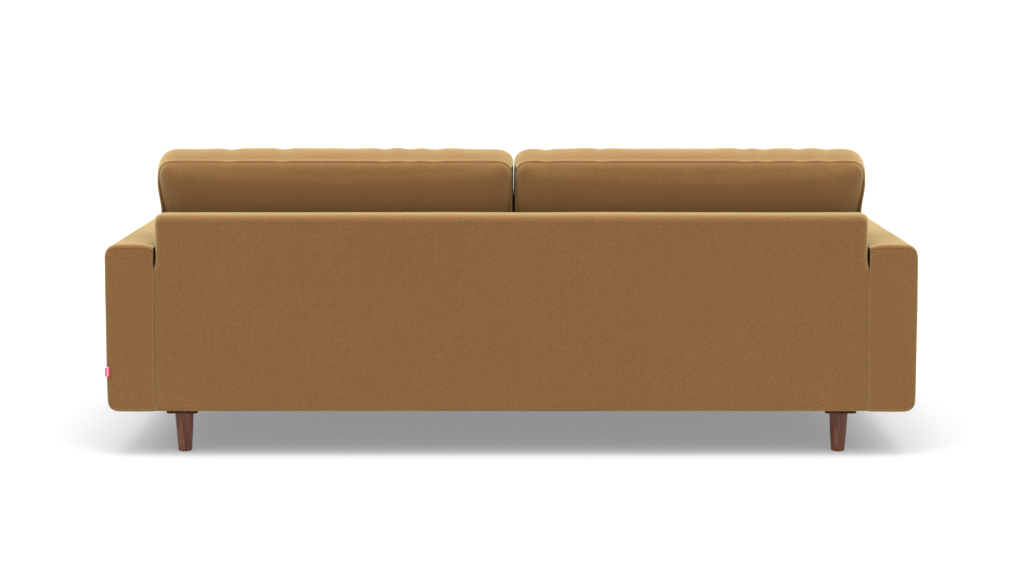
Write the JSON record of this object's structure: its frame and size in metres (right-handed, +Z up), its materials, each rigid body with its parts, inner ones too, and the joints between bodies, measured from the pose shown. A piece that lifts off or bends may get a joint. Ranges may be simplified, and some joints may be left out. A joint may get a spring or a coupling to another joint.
{
  "type": "sofa with wooden legs",
  "caption": "Long track-arm sofa with a bench seat cushion, loose back cushions and turned, tapered wooden legs on square plates.",
  "frame": {"origin": "on the floor, under the middle of the sofa", "axes": "+X to the sitter's left along the sofa's length, +Y to the rear (the seat faces -Y), +Z up"},
  "size_m": [2.337, 0.9155, 0.885],
  "materials": {
    "frame_timber": "matte",
    "walnut": "satin",
    "zinc_steel": "satin",
    "glide_nylon": "matte",
    "velvet": "matte",
    "webbing": "matte",
    "spring_steel": "satin",
    "clip_strip": "matte",
    "deck_cloth": "matte",
    "dust_cloth": "matte",
    "tag_cloth": "satin",
    "foam": "matte",
    "zip_tape": "matte",
    "zip_metal": "satin"
  },
  "bodies": {
    "root": {"base_front_rail": "frame_timber", "base_rear_rail": "frame_timber", "base_centre_rail": "frame_timber", "base_end_rail_left": "frame_timber", "base_end_rail_right": "frame_timber", "corner_block_front_left": "frame_timber", "corner_block_front_right": "frame_timber", "corner_block_rear_left": "frame_timber", "corner_block_rear_right": "frame_timber", "arm_front_post_left": "frame_timber", "arm_front_post_right": "frame_timber", "arm_rear_post_left": "frame_timber", "arm_rear_post_right": "frame_timber", "arm_top_rail_left": "frame_timber", "arm_top_rail_right": "frame_timber", "arm_bottom_rail_left": "frame_timber", "arm_bottom_rail_right": "frame_timber", "back_post_left": "frame_timber", "back_post_right": "frame_timber", "back_post_centre": "frame_timber", "back_top_rail": "frame_timber", "leg_plate_front_left": "walnut", "leg_plate_front_right": "walnut", "leg_plate_rear_left": "walnut", "leg_plate_rear_right": "walnut", "leg_front_left": "walnut", "leg_front_right": "walnut", "leg_rear_left": "walnut", "leg_rear_right": "walnut", "leg_bolt_front_left": "zinc_steel", "leg_bolt_front_right": "zinc_steel", "leg_bolt_rear_left": "zinc_steel", "leg_bolt_rear_right": "zinc_steel", "leg_glide_front_left": "glide_nylon", "leg_glide_front_right": "glide_nylon", "leg_glide_rear_left": "glide_nylon", "leg_glide_rear_right": "glide_nylon", "arm_cover_left": "velvet", "arm_cover_right": "velvet", "back_cover": "velvet", "front_border": "velvet", "back_webbing": "webbing", "seat_spring_unit": "spring_steel", "spring_clip_rail_front": "clip_strip", "spring_clip_rail_rear": "clip_strip", "seat_deck": "deck_cloth", "dust_cover": "dust_cloth", "label_tag": "tag_cloth"},
    "seat_cushion": {"seat_cushion_cover": "velvet", "seat_cushion_core": "foam", "seat_cushion_zip": "zip_tape"},
    "seat_zip_slider": {"seat_cushion_zip_slider": "zip_metal"},
    "back_cushion_left": {"back_cushion_left_cover": "velvet", "back_cushion_left_core": "foam", "back_cushion_left_zip": "zip_tape"},
    "back_zip_slider_left": {"back_cushion_left_zip_slider": "zip_metal"},
    "back_cushion_right": {"back_cushion_right_cover": "velvet", "back_cushion_right_core": "foam", "back_cushion_right_zip": "zip_tape"},
    "back_zip_slider_right": {"back_cushion_right_zip_slider": "zip_metal"}
  },
  "joints": [
    {"name": "seat_cushion_lift", "type": "slide", "parent": "root", "child": "seat_cushion", "axis": [0, 0, 1], "range_m": [0, 0.33]},
    {"name": "seat_zip_slide", "type": "slide", "parent": "seat_cushion", "child": "seat_zip_slider", "axis": [-1, 0, 0], "range_m": [0, 1.15]},
    {"name": "back_cushion_left_lift", "type": "slide", "parent": "seat_cushion", "child": "back_cushion_left", "axis": [0, 0, 1], "range_m": [0, 0.3]},
    {"name": "back_zip_slide_left", "type": "slide", "parent": "back_cushion_left", "child": "back_zip_slider_left", "axis": [-1, 0, 0], "range_m": [0, 0.75]},
    {"name": "back_cushion_right_lift", "type": "slide", "parent": "seat_cushion", "child": "back_cushion_right", "axis": [0, 0, 1], "range_m": [0, 0.3]},
    {"name": "back_zip_slide_right", "type": "slide", "parent": "back_cushion_right", "child": "back_zip_slider_right", "axis": [-1, 0, 0], "range_m": [0, 0.75]}
  ]
}
